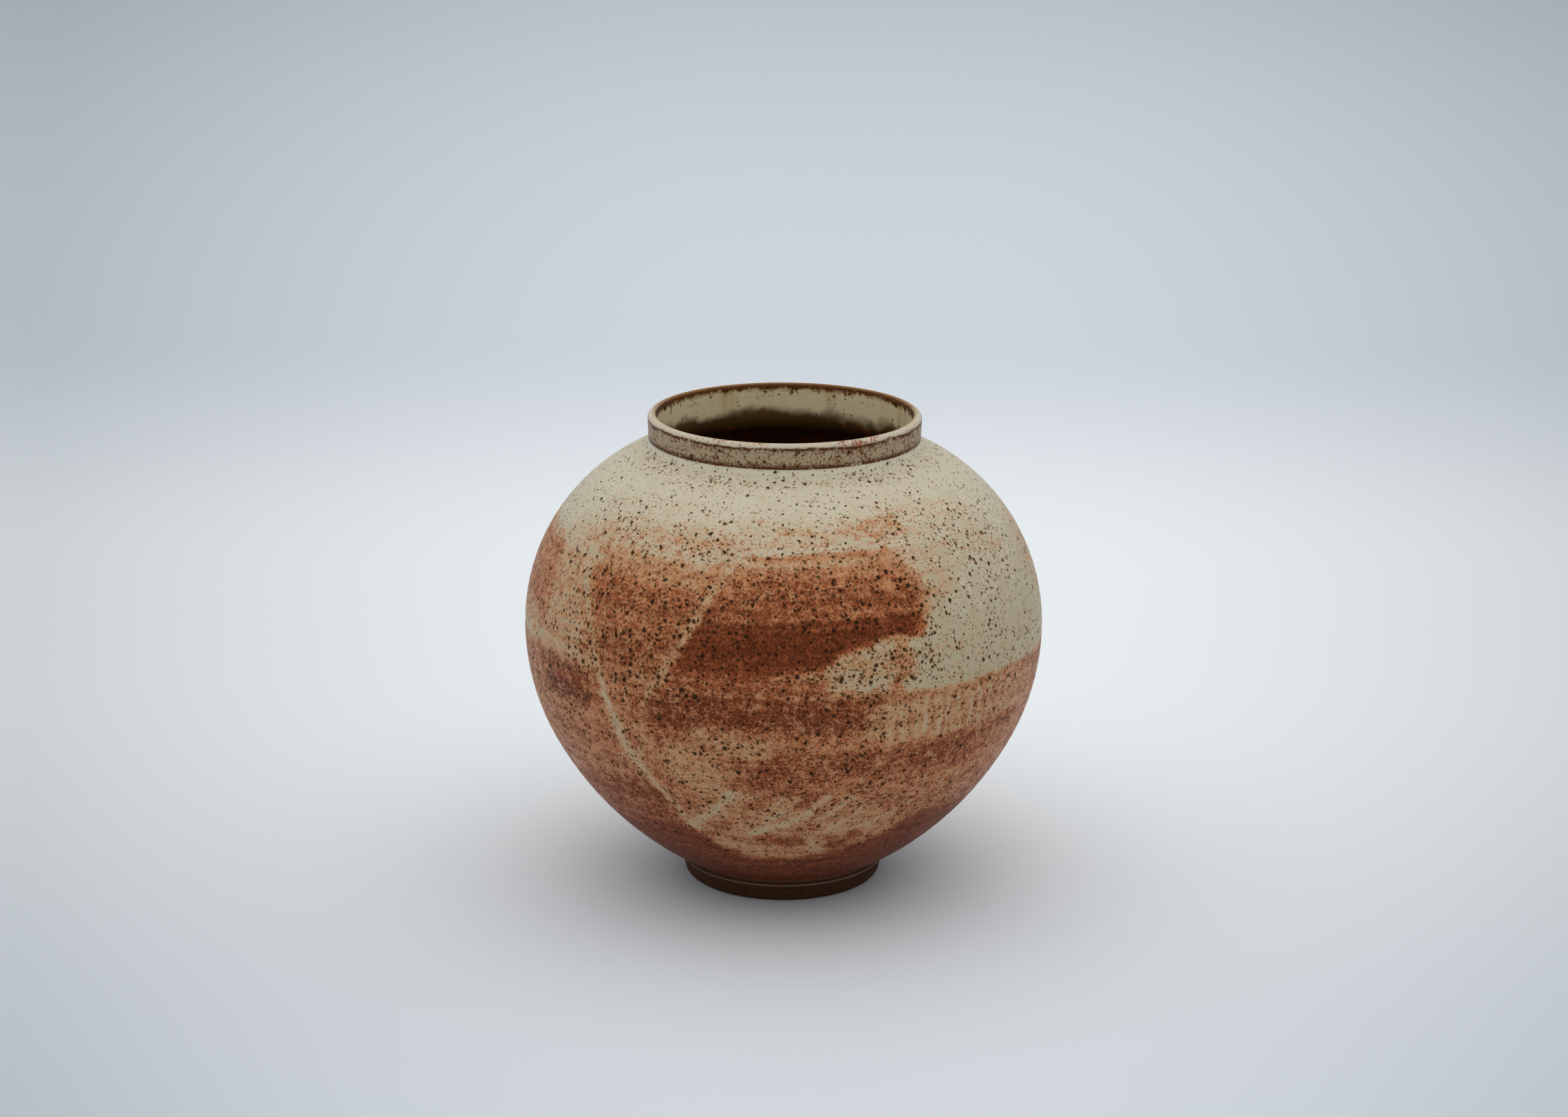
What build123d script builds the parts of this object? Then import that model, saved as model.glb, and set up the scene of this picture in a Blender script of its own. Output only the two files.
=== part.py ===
"""Moon jar: two thrown bowls luted at the belly, a collar and a foot ring, glazed inside and out.

Millimetres, +Z up. The origin is the centre of the foot's standing face, and Z is the jar's axis.
Every layer of the wall follows the same arcs, so its depth below the glazed surface is all it needs.
"""
from math import acos, asin, cos, degrees, radians, sin, sqrt, tan
import os

from build123d import *

# Body, measured over the glaze
belly_radius = 100.0
belly_height = 102.4
shoulder_round_radius = 75.4
lower_round_radius = 90.0
lower_round_deg = 28.0
glaze_end_radius = 41.0
base_height = 9.7

# Mouth and collar
mouth_radius = 48.7
collar_height = 9.4
collar_wall = 2.4
collar_flare_deg = 2.0
neck_fillet_radius = 4.0
neck_inner_round = 9.0

# Foot ring
foot_inset = 2.0
foot_width = 8.0
foot_edge_round = 2.5

# Clay, glaze and slip
wall = 5.0
floor_thickness = 7.0
floor_round_radius = 30.0
glaze = 0.6
slip = 0.8
lap_height = 5.0

# Depths of the three surfaces under the glazed outside
clay_depth = glaze
liner_depth = glaze + wall
hollow_depth = glaze + wall + glaze

# Arc centres of the body: the shoulder and the round under the belly are upright at the belly
shoulder_x = belly_radius - shoulder_round_radius
round_x = belly_radius - lower_round_radius

# The long lower arc leaves the round under the belly without a corner and ends at the glaze line
turn = radians(lower_round_deg)
turn_x = round_x + lower_round_radius * cos(turn)
turn_z = belly_height - lower_round_radius * sin(turn)
run_x = glaze_end_radius - turn_x
run_z = base_height - turn_z
lower_long_radius = -(run_x**2 + run_z**2) / (2 * (run_x * cos(turn) - run_z * sin(turn)))
long_x = turn_x - lower_long_radius * cos(turn)
long_z = turn_z + lower_long_radius * sin(turn)

# The lip is a half round over the collar, and its centre line is the middle of the collar
lip_radius = collar_wall / 2 + glaze
lip_x = mouth_radius + lip_radius
flare = radians(collar_flare_deg)
collar_rise = collar_height - lip_radius * (1 + sin(flare))
crease_x = lip_x + lip_radius * cos(flare) - collar_rise * tan(flare)

# The neck fillet rolls between the collar and the shoulder, and the crease is where it meets the collar
fillet_x = crease_x + neck_fillet_radius * cos(flare)
fillet_angle = acos((fillet_x - shoulder_x) / (shoulder_round_radius + neck_fillet_radius))
fillet_z = belly_height + (shoulder_round_radius + neck_fillet_radius) * sin(fillet_angle)
crease_z = fillet_z + neck_fillet_radius * sin(flare)
overall_height = crease_z + collar_height
lip_z = overall_height - lip_radius

# Inside the neck the mouth's straight wall rolls over into the underside of the shoulder
inner_round_x = mouth_radius + glaze + neck_inner_round
inner_reach = shoulder_round_radius - liner_depth + neck_inner_round
inner_round_angle = acos((inner_round_x - shoulder_x) / inner_reach)
inner_round_z = belly_height + inner_reach * sin(inner_round_angle)

# Inside the base a hollow round runs from the flat floor into the wall
floor_z = base_height + floor_thickness
floor_round_z = floor_z + floor_round_radius
floor_reach = lower_long_radius - liner_depth - floor_round_radius
floor_flat_radius = long_x + sqrt(floor_reach**2 - (long_z - floor_round_z) ** 2)
floor_turn_angle = asin((floor_round_z - long_z) / floor_reach)

# Radius of the clay at the bowl's flat underside, which the foot ring carries
base_radius = long_x + sqrt((lower_long_radius - clay_depth) ** 2 - (long_z - base_height) ** 2)
foot_top = base_height - slip
foot_outer_radius = base_radius - foot_inset
foot_inner_radius = foot_outer_radius - foot_width

# The rim joint laps at the middle of the wall
lap_radius = belly_radius - clay_depth - wall / 2
half_slip = slip / 2


def arc(centre_x, centre_z, radius, start, end):
    """An arc about a centre, from one angle to another in radians."""
    return CenterArc((centre_x, centre_z), radius, degrees(start), degrees(end - start))


def outside(depth):
    """The outside of the jar at a depth, from the lip's crest down to the bowl's underside."""
    lip = arc(lip_x, lip_z, lip_radius - depth, radians(90), -flare)
    neck = arc(fillet_x, fillet_z, neck_fillet_radius + depth, radians(180) - flare,
               radians(180) + fillet_angle)
    Line(lip @ 1, neck @ 0)
    arc(shoulder_x, belly_height, shoulder_round_radius - depth, fillet_angle, 0)
    arc(round_x, belly_height, lower_round_radius - depth, 0, -turn)
    radius = lower_long_radius - depth
    end_angle = asin((base_height - long_z) / radius)
    long_arc = arc(long_x, long_z, radius, -turn, end_angle)
    return lip @ 0, long_arc @ 1


def inside(depth):
    """The inside of the jar at a depth, from the lip's crest down to the centre of the floor."""
    cover = depth - liner_depth
    lip = arc(lip_x, lip_z, collar_wall / 2 + cover, radians(90), radians(180))
    neck = arc(inner_round_x, inner_round_z, neck_inner_round + cover, radians(180),
               radians(180) + inner_round_angle)
    Line(lip @ 1, neck @ 0)
    arc(shoulder_x, belly_height, shoulder_round_radius - depth, inner_round_angle, 0)
    arc(round_x, belly_height, lower_round_radius - depth, 0, -turn)
    arc(long_x, long_z, lower_long_radius - depth, -turn, floor_turn_angle)
    floor_round = arc(floor_flat_radius, floor_round_z, floor_round_radius - cover, floor_turn_angle,
                      radians(-90))
    centre = (0, floor_z + cover)
    Line(floor_round @ 1, centre)
    return lip @ 0, centre


def clay_section():
    """Half section of all the clay above the foot ring, as a face."""
    with BuildLine() as outline:
        _, base_edge = outside(clay_depth)
        _, floor_centre = inside(liner_depth)
        Polyline(base_edge, (0, base_height), floor_centre)
    make_face(outline.edges())


def box(x_low, x_high, z_low, z_high, mode):
    """A rectangle of the half section that keeps or takes away what lies in it."""
    with Locations(((x_low + x_high) / 2, (z_low + z_high) / 2)):
        Rectangle(x_high - x_low, z_high - z_low, mode=mode)


def keep(z_low, z_high):
    """Keep only the part of the section between two heights."""
    box(0, 2 * belly_radius, z_low, z_high, Mode.INTERSECT)


os.makedirs("parts", exist_ok=True)

# Lower bowl: the base, the floor and the wall up to the belly, with a raised inner half of the rim
with BuildPart() as lower_bowl:
    with BuildSketch(Plane.XZ):
        clay_section()
        keep(0, belly_height + lap_height - half_slip)
        box(lap_radius - half_slip, 2 * belly_radius, belly_height - half_slip, overall_height, Mode.SUBTRACT)
    revolve(axis=Axis.Z)

# Upper bowl: thrown the same way, turned over and set on the lower one, open at the neck
with BuildPart() as upper_bowl:
    with BuildSketch(Plane.XZ):
        clay_section()
        keep(belly_height + half_slip, crease_z - slip)
        box(0, lap_radius + half_slip, 0, belly_height + lap_height + half_slip, Mode.SUBTRACT)
    revolve(axis=Axis.Z)

# Belly seam: the slip that lutes the two rims together along their lap
with BuildPart() as belly_seam:
    with BuildSketch(Plane.XZ):
        clay_section()
        keep(belly_height - half_slip, belly_height + lap_height + half_slip)
        box(0, lap_radius - half_slip, 0, belly_height + lap_height - half_slip, Mode.SUBTRACT)
        box(lap_radius + half_slip, 2 * belly_radius, belly_height + half_slip, overall_height, Mode.SUBTRACT)
    revolve(axis=Axis.Z)

# Neck seam: the slip between the upper bowl and the collar, just under the crease
with BuildPart() as neck_seam:
    with BuildSketch(Plane.XZ):
        clay_section()
        keep(crease_z - slip, crease_z)
    revolve(axis=Axis.Z)

# Collar: the low upright neck with its rounded lip
with BuildPart() as neck_collar:
    with BuildSketch(Plane.XZ):
        clay_section()
        keep(crease_z, overall_height)
    revolve(axis=Axis.Z)

# Foot ring: bare clay, drawn in towards the table, with both standing edges rounded
with BuildPart() as foot_ring:
    with BuildSketch(Plane.XZ) as foot_section:
        with BuildLine():
            Polyline(
                (foot_inner_radius, 0),
                (foot_outer_radius, 0),
                (base_radius, foot_top),
                (foot_inner_radius, foot_top),
                close=True,
            )
        make_face()
        fillet(foot_section.vertices().group_by(Axis.Y)[0], foot_edge_round)
    revolve(axis=Axis.Z)

# Foot seam: the slip between the foot ring and the bowl's underside
with BuildPart() as foot_seam:
    with BuildSketch(Plane.XZ):
        box(foot_inner_radius, base_radius, foot_top, base_height, Mode.ADD)
    revolve(axis=Axis.Z)

# Outer glaze: one coat from the lip's crest down to the glaze line above the foot
with BuildPart() as outer_glaze:
    with BuildSketch(Plane.XZ):
        with BuildLine():
            glaze_crest, glaze_end = outside(0)
            clay_crest, clay_end = outside(clay_depth)
            Line(glaze_crest, clay_crest)
            Line(glaze_end, clay_end)
        make_face()
    revolve(axis=Axis.Z)

# Liner glaze: one coat from the lip's crest down the neck and the hollow to the floor
with BuildPart() as liner_glaze:
    with BuildSketch(Plane.XZ):
        with BuildLine():
            clay_crest, clay_floor = inside(liner_depth)
            glaze_crest, glaze_floor = inside(hollow_depth)
            Line(glaze_crest, clay_crest)
            Line(glaze_floor, clay_floor)
        make_face()
    revolve(axis=Axis.Z)

lower_bowl.part.label = "lower_bowl"
upper_bowl.part.label = "upper_bowl"
belly_seam.part.label = "belly_seam"
neck_seam.part.label = "neck_seam"
neck_collar.part.label = "neck_collar"
foot_ring.part.label = "foot_ring"
foot_seam.part.label = "foot_seam"
outer_glaze.part.label = "outer_glaze"
liner_glaze.part.label = "liner_glaze"

for piece in (
    lower_bowl,
    upper_bowl,
    belly_seam,
    neck_seam,
    neck_collar,
    foot_ring,
    foot_seam,
    outer_glaze,
    liner_glaze,
):
    export_step(piece.part, f"parts/{piece.part.label}.step")

print(f"overall height {overall_height:.2f}, crease {crease_z:.2f}, base radius {base_radius:.2f}")
print(f"straight mouth wall from {inner_round_z:.2f} to {lip_z:.2f}")
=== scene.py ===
# %% [markdown]
# # A brushed moon jar in a small studio
# A moon jar is two thrown bowls luted rim to rim, with a low collar on top and a turned ring below.
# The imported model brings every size. This lesson gives the pieces what a wheel, a brush and a kiln
# leave on them: faint throwing lines, a pale satin glaze with iron specks, and a rust wash in broad strokes.

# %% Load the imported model
import math

import bpy
import numpy as np
from mathutils import Matrix, Vector, noise
from mathutils.bvhtree import BVHTree


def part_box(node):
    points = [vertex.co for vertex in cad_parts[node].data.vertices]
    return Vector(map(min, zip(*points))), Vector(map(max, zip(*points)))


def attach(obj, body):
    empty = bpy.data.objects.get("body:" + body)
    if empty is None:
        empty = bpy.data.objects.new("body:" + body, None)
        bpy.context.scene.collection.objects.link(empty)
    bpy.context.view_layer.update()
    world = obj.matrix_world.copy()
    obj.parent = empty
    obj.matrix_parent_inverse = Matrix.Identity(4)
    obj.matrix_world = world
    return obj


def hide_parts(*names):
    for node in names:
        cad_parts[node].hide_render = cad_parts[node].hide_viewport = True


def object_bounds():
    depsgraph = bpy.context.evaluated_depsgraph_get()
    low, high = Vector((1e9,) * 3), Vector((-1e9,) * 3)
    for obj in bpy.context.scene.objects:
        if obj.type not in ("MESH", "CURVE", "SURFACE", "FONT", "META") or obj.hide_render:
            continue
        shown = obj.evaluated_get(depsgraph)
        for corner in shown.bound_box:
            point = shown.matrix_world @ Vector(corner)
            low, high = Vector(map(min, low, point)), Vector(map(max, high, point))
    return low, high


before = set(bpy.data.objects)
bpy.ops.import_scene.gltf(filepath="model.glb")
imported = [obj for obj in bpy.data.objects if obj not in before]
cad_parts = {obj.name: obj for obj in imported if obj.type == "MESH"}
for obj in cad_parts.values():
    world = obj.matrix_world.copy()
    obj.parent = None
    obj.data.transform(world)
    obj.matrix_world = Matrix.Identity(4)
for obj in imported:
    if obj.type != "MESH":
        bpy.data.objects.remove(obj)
cad_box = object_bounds()
MM = 0.001
jar_height = cad_box[1][2]
belly_radius = cad_box[1][0]
print("jar", round(2 * belly_radius / MM, 1), "mm wide,", round(jar_height / MM, 1), "mm high")

# %% [markdown]
# ## The camera
# The picture looks down on the jar from a little above its mouth, through a long lens, so the mouth is
# a flat ellipse and the sides keep their shape. The camera stands straight in front, on the -Y side.
# Places are in metres, and the lens and its sensor in millimetres.

# %% Camera
camera_distance = 1.200
camera_height = 0.469
camera_pitch = math.radians(15.92)
camera_roll = math.radians(0.34)
camera_lens = 74.2
camera_sensor = 36.0

camera_data = bpy.data.cameras.new("studio_camera")
camera_data.lens = camera_lens
camera_data.sensor_width = camera_sensor
camera = bpy.data.objects.new("studio_camera", camera_data)
bpy.context.scene.collection.objects.link(camera)
stand = Matrix.Translation((0, -camera_distance, camera_height))
tilt = Matrix.Rotation(math.pi / 2 - camera_pitch, 4, "X")
camera.matrix_world = stand @ tilt @ Matrix.Rotation(camera_roll, 4, "Z")
bpy.context.scene.camera = camera
print("camera at", tuple(round(v, 3) for v in camera.location))

# %% [markdown]
# ## Small helpers for node trees
# Geometry Nodes and shaders are both trees of nodes. One helper adds a node and fills its inputs with
# numbers or links, and a few more stand for the sums that come up again and again.


# %% Node helpers
def put(tree, kind, inputs=None, **settings):
    """Add a node, set its properties, then fill or link its inputs by name or number."""
    made = tree.nodes.new(kind)
    for key, value in settings.items():
        setattr(made, key, value)
    for key, value in (inputs or {}).items():
        socket = made.inputs[key]
        if isinstance(value, bpy.types.NodeSocket):
            tree.links.new(value, socket)
        else:
            socket.default_value = value
    return made


def calc(tree, operation, *values):
    """One step of arithmetic."""
    return put(tree, "ShaderNodeMath", dict(enumerate(values)), operation=operation).outputs[0]


def rise(tree, value, low, high):
    """0 below low, 1 above high, with a soft step between; low may be the larger one."""
    step = put(tree, "ShaderNodeMapRange", {0: value, 1: low, 2: high}, interpolation_type="SMOOTHSTEP")
    return step.outputs[0]


def lay(tree, amount, under, over):
    """One colour laid over another by an amount from 0 to 1."""
    mix = put(tree, "ShaderNodeMix", {0: amount, 6: under, 7: over}, data_type="RGBA")
    return mix.outputs[2]


def srgb(red, green, blue):
    """A colour given as 0 to 255, as the linear colour that nodes use."""
    parts = [v / 255 for v in (red, green, blue)]
    return [v / 12.92 if v <= 0.04045 else ((v + 0.055) / 1.055) ** 2.4 for v in parts] + [1.0]


print("a middle grey of 128 is", round(srgb(128, 128, 128)[0], 3), "in the linear light of nodes")

# %% [markdown]
# ## Outlines read from the model
# Every piece here is turned on the wheel, so all its shape is in one half section. A CAD mesh is
# triangles that share rings of points, so each ring gives one point of the section. A coat of glaze has
# two sides, and the one that touches the clay is the hidden one. Walking from the lip to the nearest next
# point puts the rings of one side in order, and a smooth curve through them gives the rows of the new
# mesh: few where the wall is nearly straight, more where it bends. The outlines could be typed in again,
# but read like this they follow the model when it changes.

# %% The clay under the coats
clay_corners = []
clay_faces = []
for node in ("lower_bowl", "upper_bowl", "neck_collar", "belly_seam", "neck_seam", "foot_seam"):
    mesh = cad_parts[node].data
    first = len(clay_corners)
    clay_corners += [corner.co.copy() for corner in mesh.vertices]
    clay_faces += [[first + i for i in face.vertices] for face in mesh.polygons]
clay = BVHTree.FromPolygons(clay_corners, clay_faces)
print("clay has", len(clay_faces), "faces")

# %% Read one side of a coat
edge_share = 0.15
twin_gap = 0.05 * MM


def side_points(node, hidden):
    """The (radius, height) points of a coat's shown side, or of its hidden one, from the lip downwards."""
    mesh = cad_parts[node].data
    gaps = np.array([clay.find_nearest(face.center)[3] for face in mesh.polygons])
    thickness = np.median(gaps[gaps > gaps.max() / 2])
    chosen = gaps < edge_share * thickness if hidden else gaps > (1 - edge_share) * thickness
    used = {i for face, wanted in zip(mesh.polygons, chosen) if wanted for i in face.vertices}
    corners = np.array([mesh.vertices[i].co for i in sorted(used)])
    rings = np.column_stack((np.hypot(corners[:, 0], corners[:, 1]), corners[:, 2]))
    return walk(np.unique(rings.round(6), axis=0))


def walk(points):
    """Order points along a line, from the highest one to the nearest next one, without twins."""
    left = list(range(len(points)))
    order = [left.pop(int(points[:, 1].argmax()))]
    while left:
        gaps = np.linalg.norm(points[left] - points[order[-1]], axis=1)
        order.append(left.pop(int(gaps.argmin())))
    line = points[order]
    apart = np.linalg.norm(np.diff(line, axis=0), axis=1) > twin_gap
    return line[np.concatenate(([True], apart))]


def to_axis(points):
    """The same points with one more on the axis, level with the last: a flat disc has no ring there."""
    return np.vstack((points, (0, points[-1, 1])))


outer_skin = side_points("outer_glaze", hidden=False)
outer_back = side_points("outer_glaze", hidden=True)
hollow_skin = to_axis(side_points("liner_glaze", hidden=False))
hollow_back = to_axis(side_points("liner_glaze", hidden=True))
print("rings read:", len(outer_skin), len(outer_back), len(hollow_skin), len(hollow_back))

# %% Directions along an outline
# A step this many times longer than the one beside it is a straight that meets an arc
straight_jump = 3


def turned(direction, angle):
    """A flat direction turned by an angle."""
    x, y = direction
    return np.array((x * math.cos(angle) - y * math.sin(angle), x * math.sin(angle) + y * math.cos(angle)))


def bend_between(first, second):
    """The signed angle from one flat direction to another."""
    return math.atan2(first[0] * second[1] - first[1] * second[0], float(first @ second))


def run_directions(points):
    """The direction of the outline at each point: an arc's last step is half a bend short of its end."""
    steps = np.diff(points, axis=0)
    lengths = np.linalg.norm(steps, axis=1)
    units = steps / lengths[:, None]
    bends = [bend_between(first, second) for first, second in zip(units, units[1:])]
    found = [turned(units[0], -bends[0] / 2)]
    for i in range(1, len(units)):
        if lengths[i] > straight_jump * lengths[i - 1] and i > 1:
            found.append(turned(units[i - 1], bends[i - 2] / 2))
        elif lengths[i - 1] > straight_jump * lengths[i] and i < len(bends):
            found.append(turned(units[i], -bends[i] / 2))
        else:
            share = lengths[i - 1] / (lengths[i - 1] + lengths[i])
            found.append(turned(units[i - 1], bends[i - 1] * share))
    return found + [turned(units[-1], bends[-1] / 2)]


print("the outer coat leaves the lip towards", run_directions(outer_skin)[0].round(2))

# %% Rows along an outline
outer_step = 1.45 * MM
liner_step = 2.2 * MM
shown_bend = math.radians(9)


def rows_along(points, longest_row, sharpest_bend=shown_bend):
    """A smooth line through the points, cut by length and by how much each stretch bends."""
    ways = run_directions(points)
    kept = [0]
    for i in range(1, len(points) - 1):
        too_long = np.linalg.norm(points[i + 1] - points[kept[-1]]) > longest_row
        too_bent = abs(bend_between(ways[kept[-1]], ways[i + 1])) > sharpest_bend
        if too_long or too_bent:
            kept.append(i)
    kept.append(len(points) - 1)
    rows = []
    for first, last in zip(kept, kept[1:]):
        start, end, way_in, way_out = points[first], points[last], ways[first], ways[last]
        length = np.linalg.norm(end - start)
        bend = abs(bend_between(way_in, way_out))
        steps = math.ceil(max(length / longest_row, bend / sharpest_bend, 1))
        # Hermite weights: each end pulls the line along its own direction
        for t in np.arange(steps) / steps:
            bow = (t**3 - 2 * t**2 + t) * way_in + (t**3 - t**2) * way_out
            rows.append((2 * t**3 - 3 * t**2 + 1) * start + (3 * t**2 - 2 * t**3) * end + bow * length)
    return np.array(rows + [points[-1]])


outer_rows = rows_along(outer_skin, outer_step)
hollow_rows = rows_along(hollow_skin, liner_step)
print("rows:", len(outer_rows), "outside,", len(hollow_rows), "inside")

# %% [markdown]
# ## A wheel made of Geometry Nodes
# The same rule makes every piece: take an outline and turn it about the axis. The tree bends a flat grid
# into that shape. Each row takes its radius and height from one point of the outline, and each column is
# one step of the wheel. A throwing line climbs the wall as a helix, because fingers rise while the wheel
# turns, and a slow sway keeps the piece from being a perfect circle. A Screw modifier could turn an outline
# too, but the tree keeps the line and the sway as sizes that each piece can set.


# %% Inputs of the wheel
def named_input(tree, name, kind, value=None):
    """Add a named input to a tree."""
    socket = tree.interface.new_socket(name, in_out="INPUT", socket_type=kind)
    if value is not None:
        socket.default_value = value


wheel = bpy.data.node_groups.new("potters_wheel", "GeometryNodeTree")
named_input(wheel, "Outline", "NodeSocketObject")
named_input(wheel, "Segments", "NodeSocketInt", 360)
named_input(wheel, "Line Depth", "NodeSocketFloat", 0.06 * MM)
named_input(wheel, "Line Pitch", "NodeSocketFloat", 4.2 * MM)
named_input(wheel, "Sway", "NodeSocketFloat", 0.2 * MM)
named_input(wheel, "Seed", "NodeSocketFloat", 3.0)
named_input(wheel, "Finish", "NodeSocketMaterial")
wheel.interface.new_socket("Piece", in_out="OUTPUT", socket_type="NodeSocketGeometry")
print("wheel inputs:", [item.name for item in wheel.interface.items_tree if item.in_out == "INPUT"])

# %% Bend a grid into the outline
given = put(wheel, "NodeGroupInput").outputs
outline_points = put(wheel, "GeometryNodeObjectInfo", {"Object": given["Outline"]}).outputs["Geometry"]
size = put(wheel, "GeometryNodeAttributeDomainSize", {"Geometry": outline_points}, component="CURVE")
row_count = size.outputs["Point Count"]
grid = put(wheel, "GeometryNodeMeshGrid", {
    "Size X": 1.0,
    "Size Y": 1.0,
    "Vertices X": calc(wheel, "ADD", given["Segments"], 1),
    "Vertices Y": row_count,
})
place = put(wheel, "GeometryNodeInputPosition").outputs[0]
across = put(wheel, "ShaderNodeSeparateXYZ", {0: place}).outputs
angle = calc(wheel, "MULTIPLY", calc(wheel, "ADD", across["X"], 0.5), math.tau)
row_share = calc(wheel, "ADD", across["Y"], 0.5)
row = calc(wheel, "ROUND", calc(wheel, "MULTIPLY", row_share, calc(wheel, "SUBTRACT", row_count, 1)))
spot = put(wheel, "GeometryNodeSampleIndex", {"Geometry": outline_points, "Index": row},
           data_type="FLOAT_VECTOR")
wheel.links.new(place, spot.inputs["Value"])
shown = put(wheel, "GeometryNodeSampleIndex", {"Geometry": outline_points, "Index": row}, data_type="FLOAT")
wheel.links.new(put(wheel, "GeometryNodeInputRadius").outputs[0], shown.inputs["Value"])
section = put(wheel, "ShaderNodeSeparateXYZ", {0: spot.outputs["Value"]}).outputs
print("grid and outline:", len(wheel.nodes), "nodes")

# %% Throwing lines and sway
sway_scale = 0.9
finger_scale = 60.0
axis_radius = 0.5 * MM

sine = calc(wheel, "SINE", angle)
cosine = calc(wheel, "COSINE", angle)
climb = calc(wheel, "MULTIPLY", calc(wheel, "DIVIDE", section["Z"], given["Line Pitch"]), math.tau)
helix = calc(wheel, "SINE", calc(wheel, "ADD", climb, angle))
rim_spot = put(wheel, "ShaderNodeCombineXYZ", {0: sine, 1: cosine, 2: section["Z"]}).outputs[0]
slow = put(wheel, "ShaderNodeTexNoise", {
    "Vector": rim_spot,
    "W": given["Seed"],
    "Scale": sway_scale,
    "Detail": 1.0,
}, noise_dimensions="4D").outputs[0]
uneven = put(wheel, "ShaderNodeTexNoise", {
    "Vector": rim_spot,
    "W": given["Seed"],
    "Scale": finger_scale,
}, noise_dimensions="4D").outputs[0]
line = calc(wheel, "MULTIPLY", calc(wheel, "MULTIPLY", helix, uneven), given["Line Depth"])
line = calc(wheel, "MULTIPLY", line, shown.outputs["Value"])
sway = calc(wheel, "MULTIPLY", calc(wheel, "SUBTRACT", slow, 0.5), given["Sway"])
off_axis = calc(wheel, "GREATER_THAN", section["X"], axis_radius)
moved = calc(wheel, "MULTIPLY", calc(wheel, "ADD", line, sway), off_axis)
radius = calc(wheel, "ADD", section["X"], moved)
turned_place = put(wheel, "ShaderNodeCombineXYZ", {
    0: calc(wheel, "MULTIPLY", radius, sine),
    1: calc(wheel, "MULTIPLY", calc(wheel, "MULTIPLY", radius, cosine), -1),
    2: section["Z"],
}).outputs[0]
print("throwing line and sway:", len(wheel.nodes), "nodes so far")

# %% Close the wheel's tree
weld_gap = 0.01 * MM
bent = put(wheel, "GeometryNodeSetPosition", {"Geometry": grid.outputs["Mesh"], "Position": turned_place})
facing = put(wheel, "GeometryNodeFlipFaces", {0: bent.outputs[0]})
closed = put(wheel, "GeometryNodeMergeByDistance", {"Geometry": facing.outputs[0], "Distance": weld_gap})
smooth = put(wheel, "GeometryNodeSetShadeSmooth", {0: closed.outputs[0]})
real = put(wheel, "GeometryNodeRealizeInstances", {0: smooth.outputs[0]})
dressed = put(wheel, "GeometryNodeSetMaterial", {0: real.outputs[0], "Material": given["Finish"]})
put(wheel, "NodeGroupOutput", {0: dressed.outputs[0]})
print("the wheel is closed with", len(wheel.nodes), "nodes")


# %% Turn one piece
def turn_piece(name, rows, finish, **sizes):
    """Turn a closed outline on the wheel. A row is (radius, height, 1 where the throwing line shows)."""
    curve = bpy.data.curves.new(name + "_outline", "CURVE")
    curve.dimensions = "3D"
    spline = curve.splines.new("POLY")
    spline.points.add(len(rows) - 1)
    for point, (reach, height, line_shows) in zip(spline.points, rows):
        point.co = (reach, 0, height, 1)
        point.radius = line_shows
    outline = bpy.data.objects.new(name + "_outline", curve)
    piece = bpy.data.objects.new(name, bpy.data.meshes.new(name))
    for made in (outline, piece):
        bpy.context.scene.collection.objects.link(made)
    modifier = piece.modifiers.new("wheel", "NODES")
    modifier.node_group = wheel
    ids = {item.name: item.identifier for item in wheel.interface.items_tree if item.in_out == "INPUT"}
    for key, value in {"Outline": outline, "Finish": finish, **sizes}.items():
        modifier[ids[key]] = value
    ready = piece.evaluated_get(bpy.context.evaluated_depsgraph_get())
    piece.data = bpy.data.meshes.new_from_object(ready)
    piece.modifiers.remove(modifier)
    bpy.data.objects.remove(outline)
    print(name, len(piece.data.vertices), "points,", len(piece.data.polygons), "faces")
    return piece


# %% [markdown]
# ## Shared effects
# Three effects come back in several finishes, so each is a shader group with its own inputs.
# Iron specks are cells of a Voronoi pattern, cut through at random, so their sizes differ by themselves.
# Mottle is the fine grain of a glaze that has broken over a coarse clay. Brush lines are noise that is
# stretched round the jar, as bristles leave it when the wheel turns. Photographs of real clay could do the
# same, but these patterns need no file, have no seam and stay sharp up close.


# %% Shader groups
def effect(name, inputs):
    """Start a shader group with a Place vector, some number inputs and a Value output."""
    group = bpy.data.node_groups.new(name, "ShaderNodeTree")
    named_input(group, "Place", "NodeSocketVector")
    for key, value in inputs.items():
        named_input(group, key, "NodeSocketFloat", value)
    group.interface.new_socket("Value", in_out="OUTPUT", socket_type="NodeSocketFloat")
    return group, put(group, "NodeGroupInput").outputs


def stretched(tree, vector, x, y, z):
    """A vector with each part times its own number."""
    factor = put(tree, "ShaderNodeCombineXYZ", {0: x, 1: y, 2: z}).outputs[0]
    return put(tree, "ShaderNodeVectorMath", {0: vector, 1: factor}, operation="MULTIPLY").outputs[0]


def use(tree, group, place, **values):
    """Place a shared effect in a finish with its own values."""
    inputs = {"Place": place, **{key.replace("_", " "): value for key, value in values.items()}}
    return put(tree, "ShaderNodeGroup", inputs, node_tree=group).outputs[0]


# %% Iron specks
ragged_grain = 1000.0
least_reach = 0.6
more_reach = 0.6

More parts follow.
